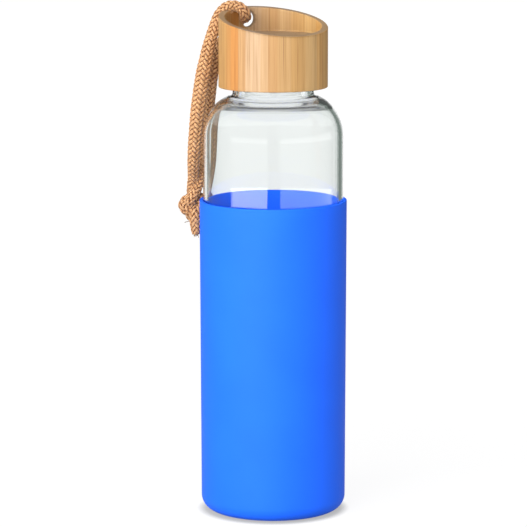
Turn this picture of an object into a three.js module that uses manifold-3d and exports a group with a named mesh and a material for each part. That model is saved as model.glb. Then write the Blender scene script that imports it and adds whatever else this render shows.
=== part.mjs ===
// A glass water bottle with a bamboo screw cap, a silicone sleeve and a braided carrying cord.
//
// Millimetres, +Z up. The origin is the centre of the sleeve's foot, on the surface that the bottle stands on.
// The cap's rim is cut on a slant: its high side, with the cord hole, is towards +Y and its low side towards -Y.
// From the outside in, the pieces are a sleeve, a bottle that stands in it, and a cap made of a turned bamboo
// shell, a threaded liner and a sealing ring. One cord runs through the shell and is tied to itself.

import * as THREE from "three";
import { mergeVertices } from "three/addons/utils/BufferGeometryUtils.js";
import Module from "manifold-3d";

const wasm = await Module();
wasm.setup();

// Driving dimensions.
const SEGMENTS = 36; // around every turned piece, and to a turn of a thread
const ARC_STEPS = 3; // half the steps of an arc in a profile
const FIT = 0.1; // between pieces that hold each other

const SLEEVE = { topRadius: 33, footRadius: 32.5, height: 141.5, wall: 1.5, cornerRadius: 6.8, lipRadius: 0.5 };

const GLASS = {
  radius: 31.4,
  wall: 2,
  baseThickness: 4,
  punt: 1.4, // how far the underside domes up
  footRing: 22,
  shoulderZ: 170.3, // where the side starts to turn in
  shoulderRadius: 20,
  neckRadius: 17.9,
  boreRadius: 15.6,
  lipZ: 205.6,
  lipRound: 0.8,
};

const CAP = {
  radius: 24.4,
  bottomZ: 192.2,
  rimZ: 221.6, // at the axis
  rimSlope: THREE.MathUtils.degToRad(11.5),
  wall: 2.9,
  floorZ: 215,
  floorThickness: 5.5,
  edgeRound: 0.6,
  holeRadius: 3.6,
  holeZ: 220.9,
};

const THREAD = { lead: 4.2, turns: 1.5, startZ: 196.6, rootWidth: 1.7, crestWidth: 0.9 };
const THREAD_CREST = { glass: 19.1, liner: 18.2 };
const LINER = { rootRadius: 19.5, inset: 0.3, plate: 1.8, chamfer: 0.5 };
const SEAL = { innerRadius: 14.6, thickness: 1.7 };

const CORD = { radius: 2.6, sides: 8, steps: 70, gap: 0.3 };

// Where the cord runs, as [angle from +X in degrees, distance from the axis, height]. It leaves the knot, climbs
// the outside of the cap, bends over the rim, goes out through the hole and hangs back down to the knot.
const CORD_ROUTE = [
  [122.5, 40.5, 141],
  [124, 40, 147],
  [128.5, 38.6, 154],
  [132.5, 37.2, 163],
  [134.5, 35.9, 172],
  [135.5, 34.5, 182],
  [135, 33, 192],
  [133.5, 31.4, 202],
  [131.5, 29.8, 211],
  [128.5, 28.6, 217.5],
  [125.5, 28, 222.5],
  [121.5, 27.4, 226.8],
  [117, 24.5, 229.3],
  [111, 20.2, 229.2],
  [104, 16.9, 226.9],
  [97, 15.6, 223.5],
  [91.5, 17.6, 221.2],
  [90, 21.5, 220.8],
  [90, 25, 220.6],
  [91.5, 27.9, 218.9],
  [96, 29.3, 215],
  [102.5, 30.2, 209.5],
  [109.5, 31.2, 202.5],
  [114.5, 32.4, 193],
  [115.5, 34, 183],
  [115, 35.5, 173],
  [115, 36.6, 163],
  [114.8, 37.9, 154],
  [113.8, 39.4, 147],
  [113.5, 40.4, 141],
];
const KNOT = { angle: 122, distance: 40.7, z: 138.9, radius: 7.1, halfHeight: 5.2 };
const FRONT_TAIL_ROUTE = [
  [125.5, 40.2, 137],
  [125.5, 39.2, 131],
  [125.5, 38.2, 127],
  [126, 37.8, 123.4],
];
const BACK_TAIL_ROUTE = [
  [116, 39.8, 137],
  [116.5, 38.8, 131],
  [117, 38, 126],
];

// Solids.

// A three.js geometry as a manifold-3d solid.
function solidOf(geometry) {
  const bare = geometry.clone();
  bare.deleteAttribute("normal");
  bare.deleteAttribute("uv");
  const merged = mergeVertices(bare, 1e-4);
  const positions = merged.getAttribute("position").array;
  return new wasm.Manifold(
    new wasm.Mesh({ numProp: 3, vertProperties: positions, triVerts: new Uint32Array(merged.index.array) }),
  );
}

// A manifold-3d solid as a three.js geometry.
function geometryOf(solid) {
  const mesh = solid.getMesh();
  const geometry = new THREE.BufferGeometry();
  geometry.setAttribute("position", new THREE.BufferAttribute(mesh.vertProperties, 3));
  geometry.setIndex(new THREE.BufferAttribute(mesh.triVerts, 1));
  geometry.computeVertexNormals();
  return geometry;
}

// A profile of (distance from the axis, height), turned about Z.
function turned(profile) {
  return new THREE.LatheGeometry(profile.getPoints(ARC_STEPS), SEGMENTS).rotateX(Math.PI / 2);
}

function onRoute([degrees, distance, z]) {
  const angle = THREE.MathUtils.degToRad(degrees);
  return new THREE.Vector3(distance * Math.cos(angle), distance * Math.sin(angle), z);
}

// A round cord of CORD.radius along a route.
function cordAlong(route, steps) {
  const curve = new THREE.CatmullRomCurve3(route.map(onRoute), false, "centripetal");
  const section = new THREE.Shape();
  for (let i = 0; i < CORD.sides; i++) {
    const angle = (i / CORD.sides) * 2 * Math.PI;
    const corner = [CORD.radius * Math.cos(angle), CORD.radius * Math.sin(angle)];
    if (i === 0) section.moveTo(...corner);
    else section.lineTo(...corner);
  }
  section.closePath();
  return new THREE.ExtrudeGeometry(section, { steps, extrudePath: curve, bevelEnabled: false });
}

// A helical ridge between two radii: a straight bar wound round Z, thinning away at both ends. Its crest is at
// crestRadius and its root is buried in the wall at rootRadius.
function threadRidge(rootRadius, crestRadius, startZ) {
  const ridge = new THREE.BoxGeometry(1, 1, 1, THREAD.turns * SEGMENTS, 1, 1);
  const positions = ridge.getAttribute("position");
  const inward = crestRadius < rootRadius;
  for (let i = 0; i < positions.count; i++) {
    const along = positions.getX(i) + 0.5;
    const atCrest = positions.getY(i) < 0 !== inward;
    const ends = Math.min(1, 12 * Math.min(along, 1 - along) + 0.15);
    const width = (atCrest ? THREAD.crestWidth : THREAD.rootWidth) * ends;
    const radius = atCrest ? rootRadius + (crestRadius - rootRadius) * ends : rootRadius;
    const angle = along * THREAD.turns * 2 * Math.PI;
    positions.setXYZ(
      i,
      radius * Math.cos(angle),
      radius * Math.sin(angle),
      startZ + along * THREAD.turns * THREAD.lead + positions.getZ(i) * width,
    );
  }
  return ridge;
}

function sleeveGeometry() {
  const { topRadius, footRadius, height, wall, cornerRadius, lipRadius } = SLEEVE;
  const innerRadius = GLASS.radius + FIT;
  const innerCorner = cornerRadius - 0.9;
  const profile = new THREE.Path();
  profile.moveTo(0, 0);
  profile.lineTo(footRadius - cornerRadius, 0);
  profile.absarc(footRadius - cornerRadius, cornerRadius, cornerRadius, -Math.PI / 2, 0, false);
  profile.lineTo(topRadius, height - lipRadius);
  profile.lineTo(topRadius - lipRadius, height);
  profile.lineTo(innerRadius + 0.2, height);
  profile.lineTo(innerRadius, height - 0.2);
  profile.lineTo(innerRadius, wall + innerCorner);
  profile.absarc(innerRadius - innerCorner, wall + innerCorner, innerCorner, 0, -Math.PI / 2, true);
  profile.lineTo(0, wall);
  return turned(profile);
}

function bottleGeometry() {
  const g = GLASS;
  const bottomZ = SLEEVE.wall + FIT;
  const corner = SLEEVE.cornerRadius - 1;
  const innerCorner = corner - 0.8;
  const innerRadius = g.radius - g.wall;
  const floorZ = bottomZ + g.baseThickness;
  const arcX = g.radius - g.shoulderRadius;
  const outerEnd = THREE.MathUtils.degToRad(68);
  const innerEnd = THREE.MathUtils.degToRad(70);
  const neckZ = g.shoulderZ + g.shoulderRadius;
  const profile = new THREE.Path();
  profile.moveTo(0, bottomZ + g.punt);
  profile.quadraticCurveTo(g.footRing * 0.6, bottomZ + g.punt, g.footRing, bottomZ);
  profile.lineTo(g.radius - corner, bottomZ);
  profile.absarc(g.radius - corner, bottomZ + corner, corner, -Math.PI / 2, 0, false);
  profile.lineTo(g.radius, g.shoulderZ);
  profile.absarc(arcX, g.shoulderZ, g.shoulderRadius, 0, outerEnd, false);
  profile.quadraticCurveTo(g.neckRadius, neckZ - 1.1, g.neckRadius, neckZ + 0.1);
  profile.lineTo(g.neckRadius, g.lipZ - g.lipRound);
  profile.lineTo(g.neckRadius - g.lipRound, g.lipZ);
  profile.lineTo(g.boreRadius + g.lipRound, g.lipZ);
  profile.lineTo(g.boreRadius, g.lipZ - g.lipRound);
  profile.lineTo(g.boreRadius, neckZ + 0.2);
  const inner = g.shoulderRadius - g.wall;
  profile.quadraticCurveTo(
    g.boreRadius,
    neckZ - 2.4,
    arcX + inner * Math.cos(innerEnd),
    g.shoulderZ + inner * Math.sin(innerEnd),
  );
  profile.absarc(arcX, g.shoulderZ, inner, innerEnd, 0, true);
  profile.lineTo(innerRadius, floorZ + innerCorner);
  profile.absarc(innerRadius - innerCorner, floorZ + innerCorner, innerCorner, 0, -Math.PI / 2, true);
  profile.quadraticCurveTo(g.footRing * 0.6, floorZ, 0, floorZ + g.punt);
  const blank = solidOf(turned(profile));
  const ridge = solidOf(threadRidge(g.neckRadius - 0.6, THREAD_CREST.glass, THREAD.startZ));
  return geometryOf(blank.add(ridge));
}

// The shell is turned as a cup over a socket, cut off on a slant and drilled through its high side.
function capShellGeometry() {
  const { radius, bottomZ, rimZ, rimSlope, wall, floorZ, floorThickness, edgeRound, holeRadius, holeZ } = CAP;
  const blankTop = rimZ + 2 * radius * Math.tan(rimSlope);
  const innerRadius = radius - wall;
  const profile = new THREE.Path();
  profile.moveTo(0, floorZ - floorThickness);
  profile.lineTo(innerRadius, floorZ - floorThickness);
  profile.lineTo(innerRadius, bottomZ);
  profile.lineTo(radius - edgeRound, bottomZ);
  profile.absarc(radius - edgeRound, bottomZ + edgeRound, edgeRound, -Math.PI / 2, 0, false);
  profile.lineTo(radius, blankTop);
  profile.lineTo(innerRadius, blankTop);
  profile.lineTo(innerRadius, floorZ + edgeRound);
  profile.absarc(innerRadius - edgeRound, floorZ + edgeRound, edgeRound, 0, -Math.PI / 2, true);
  profile.lineTo(0, floorZ);
  const block = 4 * radius;
  const slant = new THREE.BoxGeometry(block, block, block);
  slant.translate(0, 0, block / 2).rotateX(rimSlope).translate(0, 0, rimZ);
  const drill = new THREE.CylinderGeometry(holeRadius, holeRadius, 4 * wall, 24);
  drill.translate(0, innerRadius + wall / 2, holeZ);
  return geometryOf(solidOf(turned(profile)).subtract(solidOf(slant)).subtract(solidOf(drill)));
}

// A cup with the thread on its inside, glued into the shell's socket with its mouth down.
function linerGeometry() {
  const radius = CAP.radius - CAP.wall - FIT;
  const mouthZ = CAP.bottomZ + LINER.inset;
  const topZ = CAP.floorZ - CAP.floorThickness - FIT;
  const profile = new THREE.Path();
  profile.moveTo(0, topZ - LINER.plate);
  profile.lineTo(LINER.rootRadius, topZ - LINER.plate);
  profile.lineTo(LINER.rootRadius, mouthZ + LINER.chamfer);
  profile.lineTo(LINER.rootRadius + LINER.chamfer, mouthZ);
  profile.lineTo(radius, mouthZ);
  profile.lineTo(radius, topZ - LINER.chamfer);
  profile.lineTo(radius - LINER.chamfer, topZ);
  profile.lineTo(0, topZ);
  const halfLead = THREAD.lead / 2;
  const ridge = threadRidge(LINER.rootRadius + 0.6, THREAD_CREST.liner, THREAD.startZ - halfLead + 0.3);
  return geometryOf(solidOf(turned(profile)).add(solidOf(ridge)));
}

function sealGeometry() {
  const topZ = CAP.floorZ - CAP.floorThickness - 2 * FIT - LINER.plate;
  const outerRadius = LINER.rootRadius - 2 * FIT;
  const profile = new THREE.Path();
  profile.moveTo(SEAL.innerRadius, topZ - SEAL.thickness);
  profile.lineTo(outerRadius, topZ - SEAL.thickness);
  profile.lineTo(outerRadius, topZ);
  profile.lineTo(SEAL.innerRadius, topZ);
  profile.lineTo(SEAL.innerRadius, topZ - SEAL.thickness);
  return turned(profile);
}

// The knot's outer shape, larger by the given margin.
function knotGeometry(margin) {
  const centre = onRoute([KNOT.angle, KNOT.distance, KNOT.z]);
  const knot = new THREE.SphereGeometry(1, 16, 10).rotateX(Math.PI / 2);
  knot.scale(KNOT.radius + margin, KNOT.radius + margin, KNOT.halfHeight + margin);
  return knot.translate(centre.x, centre.y, centre.z);
}

function besideKnot(route, steps) {
  return geometryOf(solidOf(cordAlong(route, steps)).subtract(solidOf(knotGeometry(CORD.gap))));
}

// The assembly.

const bottle = new THREE.Group();

function piece(name, geometry, color, roughness) {
  const mesh = new THREE.Mesh(geometry, new THREE.MeshStandardMaterial({ color, roughness, metalness: 0 }));
  mesh.name = name;
  bottle.add(mesh);
}

piece("silicone_sleeve", sleeveGeometry(), 0x2f80f5, 0.55);
piece("glass_bottle", bottleGeometry(), 0xe8f1ee, 0.03);
piece("bamboo_cap", capShellGeometry(), 0xd3a66a, 0.5);
piece("threaded_liner", linerGeometry(), 0xe9e7e0, 0.4);
piece("sealing_ring", sealGeometry(), 0xf2f2f0, 0.5);
piece("carry_cord", besideKnot(CORD_ROUTE, CORD.steps), 0xb27a45, 0.85);
piece("cord_knot", knotGeometry(0), 0xb27a45, 0.85);
piece("cord_tail_front", besideKnot(FRONT_TAIL_ROUTE, 6), 0xb27a45, 0.85);
piece("cord_tail_back", besideKnot(BACK_TAIL_ROUTE, 5), 0xb27a45, 0.85);

export default bottle;
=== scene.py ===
# A glass water bottle in a silicone sleeve, with a slant-cut bamboo screw cap and a braided cord.
#
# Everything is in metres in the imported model's frame: Z up, the origin under the middle of the
# sleeve's foot, and the high side of the cap's rim, where the cord's hole is, towards +Y.

import math

import bpy
import numpy as np
from mathutils import Matrix, Vector
from mathutils.kdtree import KDTree


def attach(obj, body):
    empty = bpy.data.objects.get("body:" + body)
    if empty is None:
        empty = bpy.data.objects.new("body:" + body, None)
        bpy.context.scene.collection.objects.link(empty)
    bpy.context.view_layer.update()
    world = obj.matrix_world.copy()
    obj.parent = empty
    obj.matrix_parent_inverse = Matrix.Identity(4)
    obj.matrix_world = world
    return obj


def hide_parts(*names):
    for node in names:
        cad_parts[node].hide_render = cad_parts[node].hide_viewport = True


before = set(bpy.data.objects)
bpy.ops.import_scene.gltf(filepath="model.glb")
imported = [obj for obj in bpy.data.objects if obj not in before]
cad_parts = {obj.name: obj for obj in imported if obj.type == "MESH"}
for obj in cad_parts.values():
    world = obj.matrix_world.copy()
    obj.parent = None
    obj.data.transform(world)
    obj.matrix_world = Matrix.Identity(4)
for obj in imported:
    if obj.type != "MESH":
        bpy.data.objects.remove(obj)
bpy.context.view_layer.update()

TAU = 2 * math.pi

# The rigid pieces. These repeat the CAD part's own sizes.
SLEEVE_TOP = 0.0330
SLEEVE_FOOT = 0.0325
SLEEVE_HEIGHT = 0.1415
SLEEVE_BORE = 0.0315
SLEEVE_FLOOR = 0.0015
GLASS_RADIUS = 0.0314
GLASS_WALL = 0.0020
GLASS_FOOT = 0.0016
SHOULDER_Z = 0.1703
SHOULDER_RADIUS = 0.0200
NECK_RADIUS = 0.0179
BORE_RADIUS = 0.0156
LIP_Z = 0.2056
CAP_RADIUS = 0.0244
CAP_BORE = 0.0215
CAP_BOTTOM = 0.1922
CAP_FLOOR = 0.2150
CAP_SOCKET = 0.2095
RIM_Z = 0.2216
RIM_SLOPE = math.tan(math.radians(11.5))
HOLE_RADIUS = 0.0036
HOLE_Z = 0.2209
THREAD_LEAD = 0.0042
THREAD_TURNS = 1.5
THREAD_START = 0.1966
THREAD_RIDGE = 0.00095  # from the ridge's crest to its foot, along the axis

ON_AXIS = 1e-7  # a profile point nearer to the axis than this is a single point


def rim_height(y):
    """The height of the cap's slanted rim."""
    return RIM_Z + y * RIM_SLOPE


# ------------------------------------------------------------
# Camera

CAMERA_AZIMUTH = math.radians(-31)
CAMERA_DISTANCE = 1.4695
CAMERA_HEIGHT = 0.35295
CAMERA_TILT = math.radians(9.311)
CAMERA_LENS = 226.18  # millimetres, on a 36 mm sensor
CAMERA_SHIFT = (-0.01840607, 0.00151803)  # shares of the picture's width
CAMERA_RIGHT = np.array([math.cos(CAMERA_AZIMUTH), math.sin(CAMERA_AZIMUTH), 0])
CAMERA_FORWARD = np.array([-math.sin(CAMERA_AZIMUTH), math.cos(CAMERA_AZIMUTH), 0])

camera_data = bpy.data.cameras.new("camera")
camera = bpy.data.objects.new("camera", camera_data)
bpy.context.collection.objects.link(camera)
bpy.context.scene.camera = camera
camera_data.sensor_width = 36
camera_data.lens = CAMERA_LENS
camera_data.shift_x, camera_data.shift_y = CAMERA_SHIFT
camera_data.clip_start = 0.05
camera_data.clip_end = 50
camera.location = (
    CAMERA_DISTANCE * math.sin(CAMERA_AZIMUTH),
    -CAMERA_DISTANCE * math.cos(CAMERA_AZIMUTH),
    CAMERA_HEIGHT,
)
camera.rotation_euler = (math.radians(90) - CAMERA_TILT, 0, CAMERA_AZIMUTH)

# ------------------------------------------------------------
# Mesh helpers


def mesh_object(name, points, faces, sharp_degrees=None):
    """A smooth-shaded mesh object. Edges where faces meet at more than sharp_degrees are sharp."""
    mesh = bpy.data.meshes.new(name)
    mesh.from_pydata([tuple(p) for p in points], [], faces)
    mesh.validate()
    mesh.shade_smooth()
    if sharp_degrees is not None:
        mesh.set_sharp_from_angle(angle=math.radians(sharp_degrees))
    obj = bpy.data.objects.new(name, mesh)
    bpy.context.collection.objects.link(obj)
    return obj


def arc(centre, radius, start, end, steps):
    """Points of (distance from the axis, height) on an arc, with angles in degrees."""
    angles = np.radians(np.linspace(start, end, steps + 1))
    return [(centre[0] + radius * math.cos(a), centre[1] + radius * math.sin(a)) for a in angles]


def line(start, end, steps):
    """Points on a straight line, without its first one."""
    return [
        (start[0] + (end[0] - start[0]) * k / steps, start[1] + (end[1] - start[1]) * k / steps)
        for k in range(1, steps + 1)
    ]


def domed(radius, foot, rise):
    """A pushed-up base, from its middle out to the radius."""
    shares = [k / 8 for k in range(9)]
    return [(radius * share, foot + rise * (1 - share**2) ** 2) for share in shares]


def spun(name, profile, segments, place=None, sharp_degrees=None):
    """A profile turned about Z. place(r, z, angle, row) may move a point from where the turning
    puts it."""
    points = []
    rings = []
    for row, (r, z) in enumerate(profile):
        if r < ON_AXIS:
            rings.append([len(points)] * segments)
            points.append((0, 0, z))
            continue
        rings.append(list(range(len(points), len(points) + segments)))
        for k in range(segments):
            angle = TAU * k / segments
            radius, height = (r, z) if place is None else place(r, z, angle, row)
            points.append((radius * math.cos(angle), radius * math.sin(angle), height))
    faces = []
    pairs = list(zip(rings, rings[1:]))
    if profile[0][0] > ON_AXIS and profile[-1][0] > ON_AXIS:
        pairs.append((rings[-1], rings[0]))
    for low, high in pairs:
        for k in range(segments):
            n = (k + 1) % segments
            face = [low[k], low[n], high[n], high[k]]
            face = [v for i, v in enumerate(face) if v not in face[:i]]
            if len(face) > 2:
                faces.append(face)
    return mesh_object(name, points, faces, sharp_degrees)


# ------------------------------------------------------------
# Material helpers


class Shader:
    """A material's node tree and its Principled BSDF, with short ways to add nodes."""

    def __init__(self, name):
        self.material = bpy.data.materials.new(name)
        self.material.use_nodes = True
        self.tree = self.material.node_tree
        self.bsdf = self.tree.nodes["Principled BSDF"]

    def set(self, **values):
        for key, value in values.items():
            self.bsdf.inputs[key.replace("_", " ")].default_value = value
        return self

    def node(self, kind, inputs=None, **settings):
        made = self.tree.nodes.new(kind)
        for key, value in settings.items():
            setattr(made, key, value)
        for key, value in (inputs or {}).items():
            if isinstance(value, bpy.types.NodeSocket):
                self.tree.links.new(value, made.inputs[key])
            else:
                made.inputs[key].default_value = value
        return made

    def link(self, output, socket_name):
        self.tree.links.new(output, self.bsdf.inputs[socket_name])
        return self

    def object_point(self):
        return self.node("ShaderNodeTexCoord").outputs["Object"]

    def attribute(self, name):
        return self.node("ShaderNodeAttribute", attribute_name=name).outputs["Fac"]

    def scaled(self, vector, scale, rotation=(0, 0, 0)):
        return self.node(
            "ShaderNodeMapping", {"Vector": vector, "Scale": scale, "Rotation": rotation}
        ).outputs["Vector"]

    def noise(self, vector, scale, detail=2, roughness=0.5):
        return self.node(
            "ShaderNodeTexNoise",
            {"Vector": vector, "Scale": scale, "Detail": detail, "Roughness": roughness},
        ).outputs["Fac"]

    def math(self, operation, a, b=0.0, clamp=False):
        made = self.node("ShaderNodeMath", {0: a, 1: b}, operation=operation, use_clamp=clamp)
        return made.outputs["Value"]

    def remap(self, value, low, high, new_low, new_high):
        limits = {"From Min": low, "From Max": high, "To Min": new_low, "To Max": new_high}
        return self.node("ShaderNodeMapRange", {"Value": value, **limits}).outputs["Result"]

    def ramp(self, value, stops, interpolation="LINEAR"):
        made = self.node("ShaderNodeValToRGB", {"Fac": value})
        elements = made.color_ramp.elements
        made.color_ramp.interpolation = interpolation
        elements[0].position, elements[0].color = stops[0][0], (*stops[0][1], 1)
        elements[1].position, elements[1].color = stops[-1][0], (*stops[-1][1], 1)
        for position, colour in stops[1:-1]:
            elements.new(position).color = (*colour, 1)
        return made.outputs["Color"]

    def mix(self, factor, a, b, blend="MIX"):
        made = self.node(
            "ShaderNodeMix", {"Factor": factor}, data_type="RGBA", blend_type=blend
        )
        for key, value in (("A", a), ("B", b)):
            socket = next(s for s in made.inputs if s.name == key and s.type == "RGBA")
            if isinstance(value, bpy.types.NodeSocket):
                self.tree.links.new(value, socket)
            else:
                socket.default_value = (*value, 1)
        return next(s for s in made.outputs if s.type == "RGBA")

    def bump(self, height, distance, strength=1.0):
        inputs = {"Height": height, "Distance": distance, "Strength": strength}
        made = self.node("ShaderNodeBump", inputs)
        return self.link(made.outputs["Normal"], "Normal")


def finish_piece(obj, body, slot, material, *nodes):
    """Gives a new piece its material and body, and hides the CAD nodes that it stands for."""
    obj.data.materials.clear()
    obj.data.materials.append(material)
    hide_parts(*nodes)
    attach(obj, body)
    return obj


# ------------------------------------------------------------
# The cord: its line

CORD_RADIUS = 0.0026
CORD_STEP = 0.0010

# (angle from +X in degrees, distance from the axis, height): up the outside, over the rim, out
# through the hole and down again. Both ends are in the knot, whose strands cord_line() adds.
CORD_ROUTE = [
    (124.0, 0.0398, 0.1505),
    (128.5, 0.0385, 0.1555),
    (132.5, 0.0372, 0.1630),
    (134.7, 0.0359, 0.1720),
    (135.8, 0.0346, 0.1820),
    (135.5, 0.0332, 0.1920),
    (134.3, 0.0315, 0.2020),
    (132.4, 0.0298, 0.2110),
    (129.2, 0.0281, 0.2172),
    (126.6, 0.0270, 0.2217),
    (123.6, 0.0257, 0.2246),
    (119.2, 0.0241, 0.2267),
    (114.4, 0.0220, 0.2275),
    (110.1, 0.0199, 0.2271),
    (105.6, 0.0181, 0.2255),
    (103.0, 0.0173, 0.2234),
    (101.2, 0.0181, 0.2221),
    (98.0, 0.0203, 0.2219),
    (95.6, 0.0232, 0.2217),
    (94.4, 0.0257, 0.2207),
    (94.6, 0.0277, 0.2186),
    (99.5, 0.0290, 0.2158),
    (106.5, 0.0299, 0.2122),
    (112.5, 0.0306, 0.2078),
    (116.4, 0.0312, 0.2030),
    (117.8, 0.0319, 0.1970),
    (117.8, 0.0329, 0.1900),
    (116.8, 0.0344, 0.1815),
    (115.8, 0.0357, 0.1730),
    (115.2, 0.0368, 0.1630),
    (115.0, 0.0380, 0.1550),
    (115.5, 0.0392, 0.1505),
]
KNOT_CENTRE = (121.0, 0.0403, 0.1362)
KNOT_TURN = math.radians(158)
KNOT_CORD = 0.0036  # distance between cord centres where the knot squeezes them
KNOT_HEIGHT = 0.70  # the knot's height as a share of the height that it was tied with
KNOT_HALF = 0.007  # half of the height that it was tied with
KNOT_LEAD = 0.0110  # how far above its centre the knot's strands go over to CORD_ROUTE
FRONT_TAIL = 0.0130  # from the knot's centre down
BACK_TAIL = 0.0115
HOLE_ALONG = 0.56  # how far along the cord the hole squeezes it, as a share of its length
# How far each end leans: (height from the knot's centre, to the camera's right, away from it).
FRONT_NUDGES = [
    (-0.0130, 0.0022, 0.0),
    (-0.0090, 0.0014, 0.0),
    (-0.0050, 0.0002, 0.0),
    (-0.0020, 0.0, 0.0),
]
BACK_NUDGES = [
    (-0.0115, 0.0056, -0.0010),
    (-0.0085, 0.0048, 0.0002),
    (-0.0065, 0.0034, 0.0012),
    (-0.0045, 0.0010, 0.0010),
    (-0.0022, 0.0, 0.0),
    (0.0020, 0.0, 0.0),
    (0.0080, 0.0046, 0.0010),
    (0.0110, 0.0054, 0.0014),
]


def from_polar(route):
    route = np.array(route, float)
    angle = np.radians(route[:, 0])
    return np.stack([route[:, 1] * np.cos(angle), route[:, 1] * np.sin(angle), route[:, 2]], 1)


def lengths_along(points):
    return np.concatenate([[0], np.cumsum(np.linalg.norm(np.diff(points, axis=0), axis=1))])


def resampled(points, step):
    """The same line, with points an equal distance apart."""
    along = lengths_along(points)
    at = np.linspace(0, along[-1], int(round(along[-1] / step)) + 1)
    return np.stack([np.interp(at, along, points[:, k]) for k in range(3)], 1)


def smooth_line(points, per_span=12):
    """A centripetal Catmull-Rom line through the points."""
    points = np.vstack([2 * points[0] - points[1], points, 2 * points[-1] - points[-2]])
    made = []
    for p0, p1, p2, p3 in zip(points, points[1:], points[2:], points[3:]):
        t1 = np.linalg.norm(p1 - p0) ** 0.5
        t2 = t1 + np.linalg.norm(p2 - p1) ** 0.5
        t3 = t2 + np.linalg.norm(p3 - p2) ** 0.5
        for t in np.linspace(t1, t2, per_span, endpoint=False):
            a1 = (t1 - t) / t1 * p0 + t / t1 * p1
            a2 = (t2 - t) / (t2 - t1) * p1 + (t - t1) / (t2 - t1) * p2
            a3 = (t3 - t) / (t3 - t2) * p2 + (t - t2) / (t3 - t2) * p3
            b1 = (t2 - t) / t2 * a1 + t / t2 * a2
            b2 = (t3 - t) / (t3 - t1) * a2 + (t - t1) / (t3 - t1) * a3
            made.append((t2 - t) / (t2 - t1) * b1 + (t - t1) / (t2 - t1) * b2)
    made.append(points[-2])
    return np.array(made)


def eased(points, rounds):
    """The same line with its corners taken off."""
    for _ in range(rounds):
        points[1:-1] += 0.5 * ((points[:-2] + points[2:]) / 2 - points[1:-1])
    return points


def touching_pairs(points, distance):
    tree = KDTree(len(points))
    for i, p in enumerate(points):
        tree.insert(p, i)
    tree.balance()
    found = ((i, j) for i, p in enumerate(points) for _, j, _ in tree.find_range(p, distance))
    return [(i, j) for i, j in found if j > i]


def tied(strands, thickness, rounds):
    """Pulls loosely tied strands tight. Each one shortens, and none may come closer than thickness
    to another, or to a part of itself that is further off than near points along it."""
    step = thickness / 4.5
    near = math.ceil(1.7 * thickness / step)
    overshoot = 1.6
    for _ in range(rounds):
        strands = [resampled(s, step) for s in strands]
        starts = np.cumsum([0] + [len(s) for s in strands])
        points = np.vstack(strands)
        owner = np.searchsorted(starts, np.arange(len(points)), side="right")
        ends = np.concatenate([starts[:-1], starts[1:] - 1])
        held = points[ends].copy()
        for _ in range(4):
            points = eased(points, 1)
            points[ends] = held
        for _ in range(5):
            pairs = np.array(touching_pairs(points, thickness), int).reshape(-1, 2)
            same = owner[pairs[:, 0]] == owner[pairs[:, 1]]
            pairs = pairs[~(same & (pairs[:, 1] - pairs[:, 0] <= near))]
            if not len(pairs):
                break
            apart = points[pairs[:, 1]] - points[pairs[:, 0]]
            distance = np.linalg.norm(apart, axis=1)[:, None]
            push = (thickness - distance) / np.maximum(distance, 1e-9) * apart / 2
            moved = np.zeros_like(points)
            count = np.zeros(len(points))
            np.add.at(moved, pairs[:, 0], -push)
            np.add.at(moved, pairs[:, 1], push)
            np.add.at(count, pairs.ravel(), 1)
            points += overshoot * moved / np.maximum(count, 1)[:, None]
            points[ends] = held
        strands = [points[a:b] for a, b in zip(starts, starts[1:])]
    return strands


def knot_strands():
    """An overhand knot that one strand makes round the other, about the origin, with both of them
    running down Z."""
    size = KNOT_CORD * 1.12
    lead = 0.04  # how far above and below the knot the strands are held
    aside = KNOT_CORD * 0.55
    t = np.linspace(-2, 2, 300)
    loop = np.stack([t**4 - 4 * t**2 + 2, 0.2 * (t**5 - 10 * t), 3 * t - t**3], 1) * size
    top = np.array([0, aside, lead])
    foot = np.array([0, -aside, -lead])
    share = np.linspace(0, 1, 40)[:, None]
    way_in = (top + share * (loop[0] - top))[:-1]
    way_out = (loop[-1] + share * (foot - loop[-1]))[1:]
    tying = np.vstack([way_in, loop, way_out])
    count = 200
    straight = np.stack(
        [np.full(count, 0.002), np.zeros(count), np.linspace(lead, -lead, count)], 1
    )
    return tied([tying, straight], KNOT_CORD, 300)


def cord_line():
    """The cord's centreline, from the front tail's end to the back tail's end."""
    front, back = knot_strands()
    turn = np.array(Matrix.Rotation(KNOT_TURN, 3, "Z"))
    centre = from_polar([KNOT_CENTRE])[0]
    for strand in (front, back):
        strand[:, 2] -= np.clip(strand[:, 2], -KNOT_HALF, KNOT_HALF) * (1 - KNOT_HEIGHT)
    middle = (front[:, 2] < KNOT_CORD * 2) & (front[:, 2] > -KNOT_CORD * 2)
    offset = np.array([front[middle, 0].mean(), front[middle, 1].mean(), 0])
    front = front[(front[:, 2] < KNOT_LEAD) & (front[:, 2] > -FRONT_TAIL)]
    back = back[(back[:, 2] < KNOT_LEAD) & (back[:, 2] > -BACK_TAIL)]
    front = (front - offset) @ turn.T
    back = (back - offset) @ turn.T
    for tail, nudges in ((front, FRONT_NUDGES), (back, BACK_NUDGES)):
        heights, rightward, away = np.array(nudges).T
        tail += np.interp(tail[:, 2], heights, rightward)[:, None] * CAMERA_RIGHT
        tail += np.interp(tail[:, 2], heights, away)[:, None] * CAMERA_FORWARD
    front += centre
    back += centre
    # Every third point, without the ones that are nearest to the route's own ends.
    up, down = front[::-3][:-2], back[::3][2:]
    whole = smooth_line(np.vstack([up, from_polar(CORD_ROUTE), down]))
    whole = eased(resampled(whole, CORD_STEP), 6)
    return resampled(whole, CORD_STEP)


# ------------------------------------------------------------
# The cord: its braid

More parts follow.
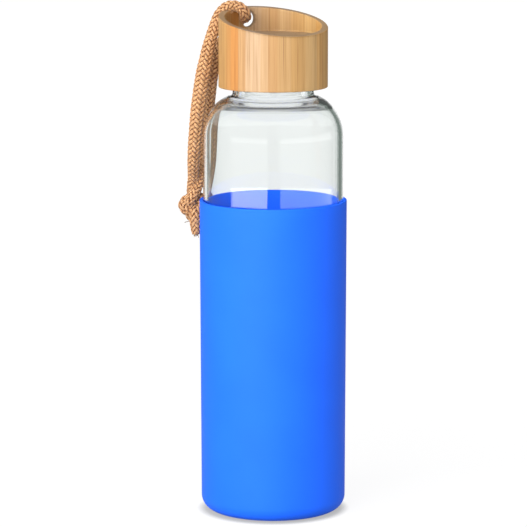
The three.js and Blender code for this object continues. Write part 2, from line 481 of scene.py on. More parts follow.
CARRIERS = 8  # yarns that wind each way
BRAID_PITCH = 0.0176  # along the cord, for one turn round it
YARN_WIDTH = 0.00070  # half of the yarn's width
YARN_DEPTH = 0.00046  # half of its depth
YARN_SIDES = 8
YARN_STEP = 0.00030
OVER_RADIUS = 0.00222  # from the cord's centre, where the yarn passes over the others
UNDER_RADIUS = 0.00160
CORE_SIDES = 10
CORE_YARN = -1.0  # the core's value of the yarn attribute, which is 0 to 1 on the yarns
LOOSE_RADIUS = 0.00015  # of a loose thread
LOOSE_SIDES = 5
STRAY_ALONG = 0.0060  # where a stray thread leaves the front tail
SKIN = 0.00004  # between the cord and what it lies on


def frames_along(points):
    """Unit tangents, and normals that are carried along the line without twisting."""
    tangents = np.gradient(points, axis=0)
    tangents /= np.linalg.norm(tangents, axis=1)[:, None]
    normal = np.cross(tangents[0], [0.3, 0.2, 1.0])
    normals = []
    for t in tangents:
        normal = normal - t * normal.dot(t)
        normal /= np.linalg.norm(normal)
        normals.append(normal)
    return tangents, np.array(normals)


def clear_of_rigid(points):
    """The points, with those inside the cap's wall, the glass or the sleeve moved to the nearest
    way out."""
    points = points.copy()
    x, y, z = points.T
    r = np.hypot(x, y)
    wall = np.where(z < SLEEVE_HEIGHT, SLEEVE_TOP, 0.0)
    wall = np.where((z >= SLEEVE_HEIGHT) & (z < SHOULDER_Z), GLASS_RADIUS, wall)
    inside = (z < SHOULDER_Z) & (r < wall + SKIN)
    points[inside, :2] *= ((wall + SKIN) / np.maximum(r, 1e-6))[inside, None]
    rim = rim_height(y)
    hole = np.hypot(x, z - HOLE_Z)
    in_wall = (r > CAP_BORE - SKIN) & (r < CAP_RADIUS + SKIN)
    in_wall &= (z > CAP_BOTTOM) & (z < rim + SKIN)
    in_hole = (y > 0) & (hole < HOLE_RADIUS)
    stuck = in_wall & ~in_hole
    over_rim = rim + SKIN - z
    into_dish = r - CAP_BORE + SKIN
    outside = CAP_RADIUS + SKIN - r
    into_hole = np.where(y > 0, hole - HOLE_RADIUS + SKIN, 1)
    nearest = np.stack([over_rim, into_dish, outside, into_hole]).argmin(0)
    up = stuck & (nearest == 0)
    points[up, 2] = (rim + SKIN)[up]
    for choice, radius in ((1, CAP_BORE - SKIN), (2, CAP_RADIUS + SKIN)):
        moved = stuck & (nearest == choice)
        points[moved, :2] *= (radius / r[moved])[:, None]
    back = stuck & (nearest == 3)
    shrink = (HOLE_RADIUS - SKIN) / np.maximum(hole, 1e-9)
    points[back, 0] *= shrink[back]
    points[back, 2] = HOLE_Z + (points[back, 2] - HOLE_Z) * shrink[back]
    return points


def tube(line_points, across, outward, half_width, half_depth, sides):
    """Points of a tube of elliptical section along a line, ring by ring."""
    turns = np.linspace(0, TAU, sides, endpoint=False)
    wide = np.cos(turns)[None, :, None] * across[:, None, :] * half_width
    deep = np.sin(turns)[None, :, None] * outward[:, None, :] * half_depth
    return line_points[:, None, :] + wide + deep


def tube_faces(rings, sides, first):
    """A tube's side faces and its two ends, where first is the index of its first point."""
    faces = []
    for i in range(rings - 1):
        for k in range(sides):
            n = (k + 1) % sides
            a = first + i * sides
            faces.append((a + k, a + n, a + sides + n, a + sides + k))
    faces.append(tuple(first + k for k in reversed(range(sides))))
    faces.append(tuple(first + (rings - 1) * sides + k for k in range(sides)))
    return faces


def cord_thickness(along, total):
    """How thick the cord is, as a share of its full thickness: squeezed in the knot and the hole,
    and thinner at its two ends."""
    from_end, taper = [0, 0.002, 0.006, 0.012], [0.72, 0.86, 0.98, 1.0]
    share = np.interp(along, from_end, taper) * np.interp(total - along, from_end, taper)
    squeezed = np.interp(along, [0.012, 0.018, 0.056, 0.068], [0, 1, 1, 0])
    squeezed += np.interp(total - along, [0.010, 0.015, 0.020, 0.026], [0, 1, 1, 0])
    squeezed += np.interp(np.abs(along - HOLE_ALONG * total), [0.003, 0.006], [1, 0])
    return share * (1.05 - 0.12 * squeezed)


def flattened(rings, centre, tangents, along, total):
    """The rings, with the stretch that is drawn tight over the rim made wider than it is deep."""
    before_middle = total / 2 - along
    amount = np.interp(before_middle, [0.008, 0.022, 0.040, 0.062], [0, 1, 1, 0])[:, None]
    side = CAMERA_RIGHT - tangents * (tangents @ CAMERA_RIGHT)[:, None]
    side /= np.linalg.norm(side, axis=1)[:, None]
    facing = np.cross(side, tangents)
    offset = rings - centre[:, None, :]
    wide = np.einsum("ijk,ik->ij", offset, side)
    deep = np.einsum("ijk,ik->ij", offset, facing)
    edge = np.clip(np.abs(wide) / (1.05 * CORD_RADIUS), 0, 1)
    widened = (0.22 * amount * wide)[..., None] * side[:, None, :]
    thinned = (-amount * deep * (0.05 + 0.30 * edge))[..., None] * facing[:, None, :]
    return rings + widened + thinned


def add_thread(add, start, reach, sag, number):
    """One loose thread: a thin tube that curves away from its start."""
    share = np.linspace(0, 1, 8)[:, None]
    points = start + share * reach + share**2 * sag
    tangents, normals = frames_along(points)
    binormals = np.cross(tangents, normals)
    rings = tube(points, binormals, normals, LOOSE_RADIUS, LOOSE_RADIUS, LOOSE_SIDES)
    add(rings, LOOSE_SIDES, number, lengths_along(points), np.ones(len(points)))


def fine_centre(path, along, fine):
    """Points of the path at the distances in fine, with the corners between its steps taken off."""
    centre = np.stack([np.interp(fine, along, path[:, k]) for k in range(3)], 1)
    reach = 4
    kernel = np.hanning(2 * reach + 1)
    kernel /= kernel.sum()
    padded = np.pad(centre, ((reach, reach), (0, 0)), mode="reflect", reflect_type="odd")
    return np.stack([np.convolve(padded[:, k], kernel, "valid") for k in range(3)], 1)


def braided_cord():
    """The cord of yarns, a core and loose threads, then the line that it follows and its length."""
    path = cord_line()
    along = lengths_along(path)
    total = along[-1]
    fine = np.arange(0, total, YARN_STEP)
    centre = fine_centre(path, along, fine)
    tangents, normals = frames_along(centre)
    binormals = np.cross(tangents, normals)
    thickness = cord_thickness(fine, total)
    rng = np.random.default_rng(7)
    points, faces, yarn_ids, yarn_along, yarn_round, yarn_lift = [], [], [], [], [], []

    def add(rings, sides, number, distance, lift):
        count = len(rings)
        first = sum(len(p) for p in points)
        points.append(clear_of_rigid(rings.reshape(-1, 3)))
        faces.extend(tube_faces(count, sides, first))
        yarn_ids.append(np.full(count * sides, number))
        yarn_along.append(np.repeat(distance, sides))
        yarn_round.append(np.tile(np.arange(sides) / sides, count))
        yarn_lift.append(np.repeat(lift, sides))

    # Each yarn goes over two of the other way's and then under two, so its phase turns once in four
    # crossings. The two starts put each way over where the other is under.
    for way, start in ((1, 0.5), (-1, 3.5)):
        for carrier in range(CARRIERS):
            angle = way * TAU * fine / BRAID_PITCH + TAU * carrier / CARRIERS
            crossing = 2 * CARRIERS * fine / BRAID_PITCH + way * 2 * carrier
            phase = np.mod(crossing + start, 4) / 4
            lift = 0.5 + 0.5 * np.clip(1.6 * np.sin(TAU * phase), -1, 1)
            radius = (UNDER_RADIUS + (OVER_RADIUS - UNDER_RADIUS) * lift) * thickness
            radius *= 1 + 0.012 * np.sin(fine / 0.0031 + rng.uniform(0, TAU))
            outward = normals * np.cos(angle)[:, None] + binormals * np.sin(angle)[:, None]
            line_points = centre + outward * radius[:, None]
            heading = np.gradient(line_points, axis=0)
            heading /= np.linalg.norm(heading, axis=1)[:, None]
            across = np.cross(outward, heading)
            wide = YARN_WIDTH * thickness[:, None, None]
            rings = tube(line_points, across, outward, wide, YARN_DEPTH, YARN_SIDES)
            rings = flattened(rings, centre, tangents, fine, total)
            distance = lengths_along(line_points)
            add(rings, YARN_SIDES, rng.uniform(0, 1), distance, lift)

    third = slice(None, None, 3)
    core_radius = (UNDER_RADIUS * 0.86 * thickness)[third, None, None]
    core = tube(
        centre[third], normals[third], binormals[third], core_radius, core_radius, CORE_SIDES
    )
    core = flattened(core, centre[third], tangents[third], fine[third], total)
    add(core, CORE_SIDES, CORE_YARN, fine[third], np.zeros(len(core)))

    # Frayed ends: from the end point, away from an inner one, so many loose threads.
    for end, inner, loose in ((0, 8, 14), (-1, -9, 10)):
        way_out = centre[end] - centre[inner]
        way_out /= np.linalg.norm(way_out)
        for _ in range(loose):
            aside = np.cross(way_out, rng.normal(size=3))
            aside /= np.linalg.norm(aside)
            start = centre[end] - 0.0008 * way_out + aside * rng.uniform(0.0002, 0.0014)
            reach = rng.uniform(0.0010, 0.0024)
            spread = aside * rng.uniform(0.0001, 0.0009) + rng.normal(size=3) * 0.0002
            add_thread(add, start, way_out * reach, spread, rng.uniform(0, 1))
    stray = centre[int(STRAY_ALONG / YARN_STEP)]
    stray = stray - CAMERA_RIGHT * 0.0018 - CAMERA_FORWARD * 0.0012
    add_thread(add, stray, -CAMERA_RIGHT * 0.0030, np.array([0, 0, -0.0006]), 0.9)

    cord = mesh_object("braided_cord", np.vstack(points), faces)
    for name, values in (
        ("yarn", yarn_ids),
        ("yarn_along", yarn_along),
        ("yarn_round", yarn_round),
        ("yarn_lift", yarn_lift),
    ):
        attribute = cord.data.attributes.new(name, "FLOAT", "POINT")
        attribute.data.foreach_set("value", np.concatenate(values).astype(np.float32))
    return cord, path, total


def cord_material():
    s = Shader("cord_braid")
    yarn = s.attribute("yarn")
    yarn_along = s.attribute("yarn_along")
    yarn_round = s.attribute("yarn_round")
    yarn_lift = s.attribute("yarn_lift")
    twist = s.math("ADD", s.math("MULTIPLY", yarn_round, 5.0), s.math("MULTIPLY", yarn_along, 420.0))
    strand_line = s.math("SINE", s.math("MULTIPLY", twist, TAU))
    fibre_vector = s.node(
        "ShaderNodeCombineXYZ",
        {
            "X": s.math("MULTIPLY", twist, 6.0),
            "Y": s.math("MULTIPLY", yarn_along, 500.0),
            "Z": yarn,
        },
    ).outputs["Vector"]
    fibre = s.noise(fibre_vector, 1.0, detail=3, roughness=0.6)
    blotch = s.noise(s.object_point(), 260.0, detail=3)
    tone = s.math("ADD", s.math("MULTIPLY", fibre, 0.55), s.math("MULTIPLY", blotch, 0.45))
    # Painted light: a yarn is lighter on its crown, with painted shade at its sides and where it
    # dives under the others, on top of its own random tone.
    crown = s.math("SINE", s.math("MULTIPLY", yarn_round, TAU))
    painted_shade_and_tone = s.math("ADD", s.math("MULTIPLY", crown, 0.55), s.math("MULTIPLY", yarn_lift, 0.55))
    painted_shade_and_tone = s.math("ADD", painted_shade_and_tone, s.math("MULTIPLY", s.math("SUBTRACT", tone, 0.5), 0.9))
    colour = s.ramp(
        painted_shade_and_tone,
        [
            (0.15, (0.095, 0.030, 0.009)),
            (0.55, (0.245, 0.096, 0.031)),
            (0.85, (0.350, 0.162, 0.061)),
            (1.00, (0.490, 0.270, 0.120)),
        ],
    )
    # The core shows only in the gaps between the yarns, and its near-black colour is painted shade
    # in those gaps.
    is_core = s.math("LESS_THAN", yarn, CORE_YARN / 2)
    colour = s.mix(is_core, colour, (0.060, 0.018, 0.005))
    yarn_tone = s.ramp(yarn, [(0.0, (0.92, 0.90, 0.88)), (1.0, (1.05, 1.05, 1.06))])
    colour = s.mix(1.0, colour, yarn_tone, "MULTIPLY")
    s.link(colour, "Base Color")
    s.link(s.remap(fibre, 0.2, 0.8, 0.62, 0.86), "Roughness")
    s.set(Sheen_Weight=0.25, Sheen_Roughness=0.4)
    height = s.math("ADD", s.math("MULTIPLY", strand_line, 0.5), fibre)
    s.bump(height, 0.00009, 0.8)
    return s.material


cord, cord_path, cord_total = braided_cord()
finish_piece(
    cord,
    "cap",
    "cord_braid",
    cord_material(),
    "carry_cord",
    "cord_knot",
    "cord_tail_front",
    "cord_tail_back",
)

# ------------------------------------------------------------
# Silicone sleeve


def sleeve_piece():
    corner = 0.0068
    inner_corner = 0.0059
    lip = 0.00030
    lip_z = SLEEVE_HEIGHT - lip
    inner_corner_z = SLEEVE_FLOOR + inner_corner
    profile = [(0, 0)]
    profile += line((0, 0), (SLEEVE_FOOT - corner - 0.003, 0), 6)
    profile += arc((SLEEVE_FOOT - corner, corner), corner, -90, 0, 16)
    profile += line((SLEEVE_FOOT, corner), (SLEEVE_TOP, lip_z), 24)[:-1]
    profile += arc((SLEEVE_TOP - lip, lip_z), lip, 0, 90, 6)
    profile += arc((SLEEVE_BORE + lip, lip_z), lip, 90, 180, 6)
    profile += line((SLEEVE_BORE, lip_z), (SLEEVE_BORE, inner_corner_z), 24)[:-1]
    profile += arc((SLEEVE_BORE - inner_corner, inner_corner_z), inner_corner, 0, -90, 10)
    profile.append((0, SLEEVE_FLOOR))
    return spun("sleeve", profile, 144)


def sleeve_material():
    s = Shader("sleeve_silicone")
    point = s.object_point()
    broad = s.noise(point, 38.0, detail=2)
    speck = s.noise(point, 5200.0, detail=2)
    cloud = s.remap(broad, 0.35, 0.65, 0, 1)
    s.link(s.mix(cloud, (0.0085, 0.122, 0.905), (0.0100, 0.130, 0.930)), "Base Color")
    s.link(s.remap(broad, 0.3, 0.7, 0.58, 0.66), "Roughness")
    s.set(IOR=1.41, Specular_IOR_Level=0.25)
    s.bump(s.math("ADD", s.math("MULTIPLY", speck, 0.35), broad), 0.00002, 0.6)
    return s.material


finish_piece(sleeve_piece(), "sleeve", "sleeve_silicone", sleeve_material(), "silicone_sleeve")

# ------------------------------------------------------------
# Glass bottle


def thread_height(angle, z, start):
    """How far a helical ridge stands out at that angle and height, from 0 to 1. It fades out at
    both ends."""
    best = 0.0
    for turn in range(math.ceil(THREAD_TURNS) + 1):
        along = (angle + TAU * turn) / (TAU * THREAD_TURNS)
        if not 0 <= along <= 1:
            continue
        fade = min(1.0, 12 * min(along, 1 - along))
        away = abs(z - start - along * THREAD_TURNS * THREAD_LEAD) / THREAD_RIDGE
        if away < 1:
            best = max(best, fade * (0.5 + 0.5 * math.cos(math.pi * away)) ** 0.6)
    return best


def rounded(points):
    """A smooth line through profile points, from after the second one to the last."""
    per_span = 5
    smooth = smooth_line(np.array([(*p, 0) for p in points]), per_span)
    return [tuple(p) for p in smooth[per_span + 1 :, :2]]


def bottle_piece():
    corner = 0.0058
    inner_corner = 0.0050
    foot_ring = 0.022
    punt = 0.0014
    ridge = 0.0012
    inner = GLASS_RADIUS - GLASS_WALL
    floor = GLASS_FOOT + 0.0040
    arc_x = GLASS_RADIUS - SHOULDER_RADIUS
    neck_z = SHOULDER_Z + SHOULDER_RADIUS
    lip = 0.0009
    profile = domed(foot_ring, GLASS_FOOT, punt)
    profile += arc((GLASS_RADIUS - corner, GLASS_FOOT + corner), corner, -90, 0, 12)
    profile += line((GLASS_RADIUS, GLASS_FOOT + corner), (GLASS_RADIUS, SHOULDER_Z), 12)[:-1]
    # The shoulder flattens where it meets the neck, and the neck stands on it with a tight crease.
    shoulder = arc((arc_x, SHOULDER_Z), SHOULDER_RADIUS, 0, 40, 16)
    profile += shoulder
    crown = [
        shoulder[-3],
        shoulder[-1],
        (0.02556, 0.18460),
        (0.02400, 0.18605),
        (0.02240, 0.18712),
        (0.02090, 0.18778),
        (0.01970, 0.18808),
        (0.01895, 0.18835),
        (0.01848, 0.18880),
        (0.01825, 0.18950),
        (0.01815, 0.19060),
    ]
    profile += rounded(crown)
    first_thread_row = len(profile)
    profile += line((NECK_RADIUS, neck_z + 0.0018), (NECK_RADIUS, LIP_Z - lip), 50)
    profile += arc((NECK_RADIUS - lip, LIP_Z - lip), lip, 0, 90, 6)[1:]
    last_thread_row = len(profile) - 7
    profile += arc((BORE_RADIUS + lip, LIP_Z - lip), lip, 90, 180, 6)
    profile += line((BORE_RADIUS, LIP_Z - lip), (BORE_RADIUS, neck_z - 0.0005), 10)
    inner_arc = arc((arc_x, SHOULDER_Z), SHOULDER_RADIUS - GLASS_WALL, 48, 0, 20)
    throat = [
        (BORE_RADIUS, neck_z),
        (BORE_RADIUS, neck_z - 0.0006),
        (0.01566, 0.18890),
        (0.01592, 0.18800),
        (0.01650, 0.18725),
        (0.01745, 0.18675),
        (0.01880, 0.18625),
        (0.02040, 0.18560),
        (0.02200, 0.18475),
        inner_arc[0],
        inner_arc[2],
    ]
    profile += rounded(throat)[:-6]
    profile += inner_arc
    profile += line((inner, SHOULDER_Z), (inner, floor + inner_corner), 12)[:-1]
    profile += arc((inner - inner_corner, floor + inner_corner), inner_corner, 0, -90, 10)
    profile += reversed(domed(foot_ring, floor, punt))

    def place(r, z, angle, row):
        if first_thread_row <= row <= last_thread_row:
            return r + ridge * thread_height(angle, z, THREAD_START), z
        return r, z

    return spun("bottle", profile, 160, place)


def glass_material():
    s = Shader("bottle_glass")
    point = s.object_point()
    ripple = s.noise(s.scaled(point, (1, 1, 0.35)), 55.0, detail=1)
    smudge = s.noise(point, 120.0, detail=3)
    s.set(Transmission_Weight=1.0, IOR=1.5, Base_Color=(0.972, 0.992, 0.984, 1))
    s.link(s.remap(smudge, 0.35, 0.75, 0.0, 0.02), "Roughness")
    s.bump(ripple, 0.00002, 0.5)
    return s.material


bottle = finish_piece(bottle_piece(), "bottle", "bottle_glass", glass_material(), "glass_bottle")
# Lamps light what is behind the glass straight through it.
bottle.visible_shadow = False
bottle.visible_diffuse = False

# ------------------------------------------------------------
# Bamboo cap

BAMBOO_TURN = math.radians(31)  # brings the camera's left-to-right direction onto X
BAMBOO_HALF = 0.0250  # half of the width that the list of glued strips covers


def cap_shell():
    edge = 0.00045
    lip = edge * 0.8
    bevel = 0.0003
    fillet = 0.0007
    top = 1.0  # stands for the slanted rim, whose height place() puts in
    rows = [(0, CAP_SOCKET)]
    rows += line((0, CAP_SOCKET), (CAP_BORE - bevel, CAP_SOCKET), 10)
    rows += line((CAP_BORE - bevel, CAP_SOCKET), (CAP_BORE, CAP_SOCKET - bevel), 1)
    rows += line((CAP_BORE, CAP_SOCKET - bevel), (CAP_BORE, CAP_BOTTOM + bevel), 8)
    rows += line((CAP_BORE, CAP_BOTTOM + bevel), (CAP_BORE + bevel, CAP_BOTTOM), 1)
    rows += arc((CAP_RADIUS - edge, CAP_BOTTOM + edge), edge, -90, 0, 6)
    rows += line((CAP_RADIUS, CAP_BOTTOM + edge), (CAP_RADIUS, top - edge), 14)[:-1]
    rows += arc((CAP_RADIUS - edge, top - edge), edge, 0, 90, 6)
    rows += arc((CAP_BORE + lip, top - lip), lip, 90, 180, 5)
    rows += line((CAP_BORE, top - edge), (CAP_BORE, CAP_FLOOR + fillet), 8)[:-1]
    rows += arc((CAP_BORE - fillet, CAP_FLOOR + fillet), fillet, 0, -90, 6)
    rows += line((CAP_BORE - fillet, CAP_FLOOR), (0, CAP_FLOOR), 12)

    def place(r, z, angle, row):
        low = CAP_BOTTOM if row < len(rows) // 2 else CAP_FLOOR
        rim = rim_height(r * math.sin(angle))
        if z > top - 0.01:
            return r, z - top + rim
        if z > RIM_Z + CAP_RADIUS:
            share = (z - low) / (top - low)
            return r, low + share * (rim - low)
        return r, z

    return spun("cap_shell", rows, 224, place)


def hole_cutter():
    """The drill: a spool that widens as it leaves the wall, so that the hole's edges are eased."""
    sides = 56
    flare = 0.00045
    # (how much wider than the hole, how far out from the wall's face), at the outer end.
    outward = [(0.0, -0.0005), (flare * 0.3, -0.0002), (flare, 0.0), (0.0018, 0.0016)]
    rows = [(wider, CAP_BORE, -past) for wider, past in reversed(outward)]
    rows += [(wider, CAP_RADIUS, past) for wider, past in outward]
    points = []
    for wider, wall, shift in rows:
        radius = HOLE_RADIUS + wider
        for k in range(sides):
            angle = TAU * k / sides
            x, z = radius * math.cos(angle), radius * math.sin(angle)
            points.append((x, math.sqrt(wall**2 - x**2) + shift, HOLE_Z + z))
    faces = []
    for i in range(len(rows) - 1):
        for k in range(sides):
            n = (k + 1) % sides
            faces.append((i * sides + k, i * sides + n, (i + 1) * sides + n, (i + 1) * sides + k))
    faces.append(tuple(reversed(range(sides))))
    faces.append(tuple((len(rows) - 1) * sides + k for k in range(sides)))
    return mesh_object("hole_cutter", points, [tuple(reversed(f)) for f in faces])


def cap_piece():
    shell = cap_shell()
    cutter = hole_cutter()
    cut = shell.modifiers.new("hole", "BOOLEAN")
    cut.operation = "DIFFERENCE"
    cut.solver = "EXACT"
    cut.object = cutter
    graph = bpy.context.evaluated_depsgraph_get()
    drilled = bpy.data.meshes.new_from_object(shell.evaluated_get(graph))
    shell.modifiers.clear()
    shell.data = drilled
    bpy.data.objects.remove(cutter)
    drilled.shade_smooth()
    drilled.set_sharp_from_angle(angle=math.radians(32))
    return shell


def bamboo_material():
    s = Shader("cap_bamboo")
    point = s.object_point()
    turned = s.scaled(point, (1, 1, 1), (0, 0, BAMBOO_TURN))
    warp = s.noise(s.scaled(point, (1, 1, 0.25)), 40.0, detail=1)
    split = s.node("ShaderNodeSeparateXYZ", {"Vector": turned})
    waver = s.math("MULTIPLY", s.math("SUBTRACT", warp, 0.5), 0.0012)
    across = s.math("ADD", split.outputs["X"], waver)
    # The glued strips, from the camera's left to its right.
    strip = s.ramp(
        s.remap(across, -BAMBOO_HALF, BAMBOO_HALF, 0, 1),
        [
            (0.00, (0.445, 0.250, 0.088)),
            (0.085, (0.430, 0.215, 0.070)),
            (0.125, (0.440, 0.195, 0.052)),
            (0.190, (0.430, 0.250, 0.108)),
            (0.255, (0.452, 0.298, 0.166)),
            (0.390, (0.440, 0.274, 0.132)),
            (0.455, (0.415, 0.236, 0.092)),
            (0.540, (0.440, 0.268, 0.112)),
            (0.660, (0.450, 0.266, 0.098)),
            (0.780, (0.500, 0.312, 0.126)),
            (0.880, (0.540, 0.310, 0.104)),
            (1.00, (0.560, 0.330, 0.106)),
        ],
        "CONSTANT",
    )
    streaks = s.noise(s.scaled(point, (1, 1, 0.018)), 900.0, detail=4, roughness=0.6)
    fine = s.noise(s.scaled(point, (1, 1, 0.010)), 3400.0, detail=3, roughness=0.7)
    lines = s.noise(s.scaled(point, (1, 1, 0.012)), 1700.0, detail=1)
    tint = s.ramp(
        streaks,
        [
            (0.30, (0.80, 0.74, 0.66)),
            (0.45, (0.97, 0.95, 0.93)),
            (0.60, (1.05, 1.06, 1.08)),
            (0.75, (1.14, 1.18, 1.24)),
        ],
    )
    colour = s.mix(1.0, strip, tint, "MULTIPLY")
    browner = s.mix(1.0, colour, (0.78, 0.68, 0.56), "MULTIPLY")
    colour = s.mix(s.remap(fine, 0.35, 0.70, 0.0, 0.60), colour, browner)
    dark_line = s.remap(lines, 0.66, 0.74, 0, 1)
    colour = s.mix(s.math("MULTIPLY", dark_line, 0.55), colour, (0.190, 0.092, 0.032))
    # Cut ends of the fibres, on the rim and the dish's floor.
    normal = s.node("ShaderNodeNewGeometry").outputs["Normal"]
    facing = s.node("ShaderNodeSeparateXYZ", {"Vector": normal}).outputs["Z"]
    end_grain = s.remap(s.math("ABSOLUTE", facing), 0.75, 0.92, 0, 1)
    pores = s.node(
        "ShaderNodeTexVoronoi",
        {"Vector": s.scaled(point, (1, 1, 0.02)), "Scale": 1500.0},
        feature="F1",
    ).outputs["Distance"]
    pore_tone = s.ramp(pores, [(0.12, (0.110, 0.072, 0.046)), (0.42, (0.270, 0.195, 0.128))])
    end_colour = s.mix(0.45, pore_tone, s.mix(1.0, colour, (0.72, 0.74, 0.86), "MULTIPLY"))
    colour = s.mix(end_grain, colour, end_colour)
    s.link(colour, "Base Color")
    s.link(s.remap(fine, 0.3, 0.7, 0.42, 0.58), "Roughness")
    s.set(Specular_IOR_Level=0.42)
    height = s.math("ADD", s.math("MULTIPLY", fine, 0.6), streaks)
    s.bump(height, 0.00004, 0.7)
    return s.material


finish_piece(cap_piece(), "cap", "cap_bamboo", bamboo_material(), "bamboo_cap")

# ------------------------------------------------------------
# Threaded liner and sealing ring


def liner_piece():
    outer = CAP_BORE - 0.0001
    root = 0.0195
    ridge = 0.0013
    thread_start = THREAD_START - THREAD_LEAD / 2 + 0.0003
    mouth = CAP_BOTTOM + 0.0003
    roof = CAP_SOCKET - 0.0001
    ceiling = roof - 0.0018
    ease = 0.0004
    profile = [(0, ceiling)]
    profile += line((0, ceiling), (root - ease, ceiling), 6)
    profile += arc((root - ease, ceiling - ease), ease, 90, 0, 4)
    first_thread_row = len(profile)
    profile += line((root, ceiling - ease), (root, mouth + ease), 56)
    last_thread_row = len(profile) - 1
    profile += arc((root + ease, mouth + ease), ease, 180, 270, 4)
    profile += arc((outer - ease, mouth + ease), ease, -90, 0, 4)
    profile += line((outer, mouth + ease), (outer, roof - ease), 8)
    profile += arc((outer - ease, roof - ease), ease, 0, 90, 4)
    profile.append((0, roof))

    def place(r, z, angle, row):
        if first_thread_row <= row <= last_thread_row:
            return r - ridge * thread_height(angle, z, thread_start), z
        return r, z

    return spun("liner", profile, 128, place, 50)


def seal_piece():
    top = 0.2075
    foot = top - 0.0017
    inner, outer = 0.0146, 0.0193
    bead = 0.0006
    rib = 0.00045
    ease = 0.0002
    profile = arc((inner + bead, foot + bead), bead, 180, 270, 5)
    profile += arc((0.5 * (inner + outer), foot - ease), rib, 160, 20, 6)
    profile += arc((outer - bead, foot + bead), bead, -90, 0, 5)
    profile += arc((outer - ease, top - ease), ease, 0, 90, 2)
    profile += arc((inner + ease, top - ease), ease, 90, 180, 2)
    return spun("seal", profile, 96)


def moulded_material(name, colour, shade, roughness, grain):
    s = Shader(name)
    point = s.object_point()
    cloud = s.noise(point, 70.0, detail=2)
    fine = s.noise(point, grain, detail=2)
    s.link(s.mix(s.remap(cloud, 0.35, 0.65, 0, 1), colour, shade), "Base Color")
    s.link(s.remap(fine, 0.3, 0.7, roughness - 0.05, roughness + 0.07), "Roughness")
    s.bump(fine, 0.000015, 0.5)
    return s.material


finish_piece(
    liner_piece(),
    "cap",
    "liner_plastic",
    moulded_material("liner_plastic", (0.80, 0.79, 0.74), (0.76, 0.75, 0.70), 0.38, 2600.0),
    "threaded_liner",
)
finish_piece(
    seal_piece(),
    "seal",
    "seal_silicone",
    moulded_material("seal_silicone", (0.84, 0.84, 0.82), (0.80, 0.80, 0.78), 0.55, 1800.0),
    "sealing_ring",
)

# ------------------------------------------------------------
# Floor, light and surroundings

ROOM_LOW = 0.95  # how bright the room is level with the bottle, as the glass sees it
ROOM_HIGH = 0.06  # the same, higher up
ROOM_AS_LIGHT = 0.38  # how brightly the room lights the bottle
FLAG_TINT = (0.82, 1.0, 0.90, 1)
MIRRORED_TINT = (0.96, 1.0, 0.98, 1)
LOW_STRIP = {"radius": 0.615, "high": 0.0690, "droop": 0.0012}


def floor_piece():
    half = 4.0
    corners = [(-half, -half, 0), (half, -half, 0), (half, half, 0), (-half, half, 0)]
    floor = mesh_object("floor", corners, [(0, 1, 2, 3)])
    s = Shader("floor")
    s.set(Base_Color=(0.10, 0.10, 0.10, 1), Roughness=0.9, Specular_IOR_Level=0.0)
    s.set(Emission_Color=(1, 1, 1, 1))
    away = s.node("ShaderNodeVectorMath", {0: s.object_point()}, operation="LENGTH")
    glow = s.remap(away.outputs["Value"], 0.15, 1.6, 0.90, 0.98)
    # The line of shadow where the sleeve's rounded foot meets the floor.
    open_sky = s.node("ShaderNodeAmbientOcclusion", {"Distance": 0.005}, samples=16).outputs["AO"]
    glow = s.math("MULTIPLY", glow, s.remap(open_sky, 0.35, 0.90, 0.50, 1.0))
    # The camera and the glass see the whole glow, and less than half of it lights the bottle.
    as_light = s.node("ShaderNodeLightPath").outputs["Is Diffuse Ray"]
    s.link(s.math("MULTIPLY", glow, s.remap(as_light, 0, 1, 1, 0.45)), "Emission Strength")
    floor.data.materials.append(s.material)


def from_camera_azimuth(degrees_left, distance):
    """Where a thing stands that is at that azimuth, in degrees to the left of the camera's."""
    angle = CAMERA_AZIMUTH - math.radians(degrees_left)
    return distance * math.sin(angle), -distance * math.cos(angle)


def card(
    name, first, last, tone, radius=0.62, high=0.60, droop=0.0, near_tone=None, only_mirrored=True
):
    """A curved card that stands round the bottle between two azimuths. Only the bottle's glass and
    sheen see it. Its tone is how brightly it shines, and near_tone how brightly it shines by way of
    the wall of the glass that is nearer to the eye. droop lowers its top away from the camera. When
    only_mirrored, it is as pale as the room behind it when it is seen straight through the glass."""
    steps = 24
    points = []
    for k in range(steps + 1):
        azimuth = first + (last - first) * k / steps
        x, y = from_camera_azimuth(azimuth, radius)
        points += [(x, y, 0.001), (x, y, high - droop * math.radians(azimuth) ** 2)]
    faces = [(2 * k, 2 * k + 1, 2 * k + 3, 2 * k + 2) for k in range(steps)]
    made = mesh_object(name, points, faces)
    s = Shader(name)
    s.set(Base_Color=(0.015, 0.015, 0.015, 1), Roughness=1.0, Specular_IOR_Level=0.0)
    s.set(Emission_Color=MIRRORED_TINT if only_mirrored else FLAG_TINT, Emission_Strength=tone)
    if only_mirrored:
        path = s.node("ShaderNodeLightPath").outputs
        strength = tone
        if near_tone is not None:
            # A ray crosses two surfaces of glass at most for the near wall, and four for the far.
            strength = s.remap(path["Transmission Depth"], 2.4, 2.6, near_tone, tone)
        s.link(s.remap(path["Glossy Depth"], 0.4, 0.6, ROOM_LOW, strength), "Emission Strength")
    made.data.materials.append(s.material)
    made.visible_camera = made.visible_diffuse = made.visible_shadow = False


def softbox(name, azimuth, distance, width, radiance, low, high, aim=None):
    """A rectangular light between two heights that faces the bottle, or the height in aim. It shows
    in no reflection and through no glass: the cards do."""
    height = high - low
    light = bpy.data.lights.new(name, "AREA")
    light.shape = "RECTANGLE"
    light.size = width
    light.size_y = height
    light.energy = math.pi * width * height * radiance
    obj = bpy.data.objects.new(name, light)
    bpy.context.collection.objects.link(obj)
    obj.location = (*from_camera_azimuth(azimuth, distance), (low + high) / 2)
    towards = Vector((0, 0, obj.location.z if aim is None else aim)) - obj.location
    obj.rotation_euler = towards.to_track_quat("-Z", "Y").to_euler()
    obj.visible_camera = False
    obj.visible_glossy = obj.visible_transmission = False


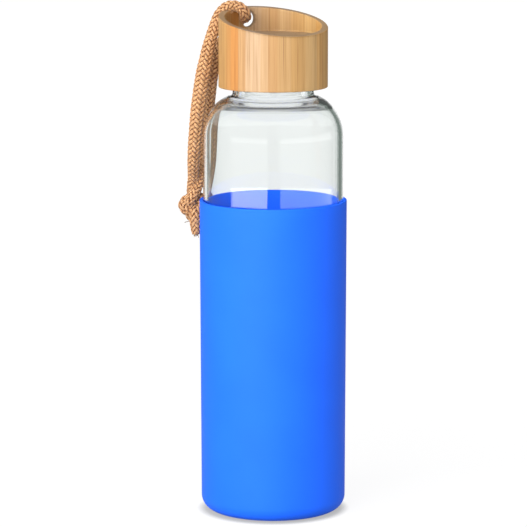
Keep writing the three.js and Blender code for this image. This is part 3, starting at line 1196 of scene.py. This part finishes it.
def surroundings():
    """A pale room, which the camera sees as white and the glass sees as dark higher up."""
    world = bpy.data.worlds.new("studio")
    bpy.context.scene.world = world
    world.use_nodes = True
    tree = world.node_tree
    nodes, links = tree.nodes, tree.links
    background = nodes["Background"]
    background.inputs["Color"].default_value = (1, 1, 1, 1)
    direction = nodes.new("ShaderNodeTexCoord").outputs["Generated"]
    height = nodes.new("ShaderNodeSeparateXYZ")
    links.new(direction, height.inputs["Vector"])
    shade = nodes.new("ShaderNodeMapRange")
    links.new(height.outputs["Z"], shade.inputs["Value"])
    for key, value in (
        ("From Min", 0.04),
        ("From Max", 0.16),
        ("To Min", ROOM_LOW),
        ("To Max", ROOM_HIGH),
    ):
        shade.inputs[key].default_value = value
    path = nodes.new("ShaderNodeLightPath")
    strength = shade.outputs["Result"]
    for ray, seen in (("Is Diffuse Ray", ROOM_AS_LIGHT), ("Is Camera Ray", 1.0)):
        mix = nodes.new("ShaderNodeMapRange")
        links.new(path.outputs[ray], mix.inputs["Value"])
        links.new(strength, mix.inputs["To Min"])
        mix.inputs["To Max"].default_value = seen
        strength = mix.outputs["Result"]
    links.new(strength, background.inputs["Strength"])


floor_piece()
surroundings()
# Azimuths are in degrees to the left of the camera's. In the glass, flags are dark edges, panels
# are grey, and strips are the bright blue bands inside the sleeve.
softbox("key_light", 36, 0.80, 0.90, 4.0, 0.010, 0.910)
softbox("front_light", 10, 1.20, 0.80, 3.9, 0.100, 1.000)
softbox("fill_light", -62, 0.90, 1.55, 0.42, 0.010, 0.800)
softbox("wrap_light", 42, 1.10, 1.00, 2.3, 0.400, 1.400, aim=0.12)
softbox("top_light", 180, 0.10, 1.20, 1.6, 0.900, 2.100, aim=0.12)
card("front_flag", -12, 9, 0.0)
card("left_flag", 72, 143.5, 0.22, only_mirrored=False)
card("back_left_flag", 154.5, 161.5, 0.22, only_mirrored=False)
card("right_flag", -160, -112, 0.22, only_mirrored=False)
card("left_panel", 9, 72, 0.42, high=0.115)
card("right_panel", -112, -12, 0.30, high=0.115)
card("left_strip", 9.5, 72, 0.42, near_tone=4.6, **LOW_STRIP)
card("right_strip", -112, -11.5, 0.30, near_tone=1.8, **LOW_STRIP)
bpy.context.scene.view_settings.view_transform = "Standard"
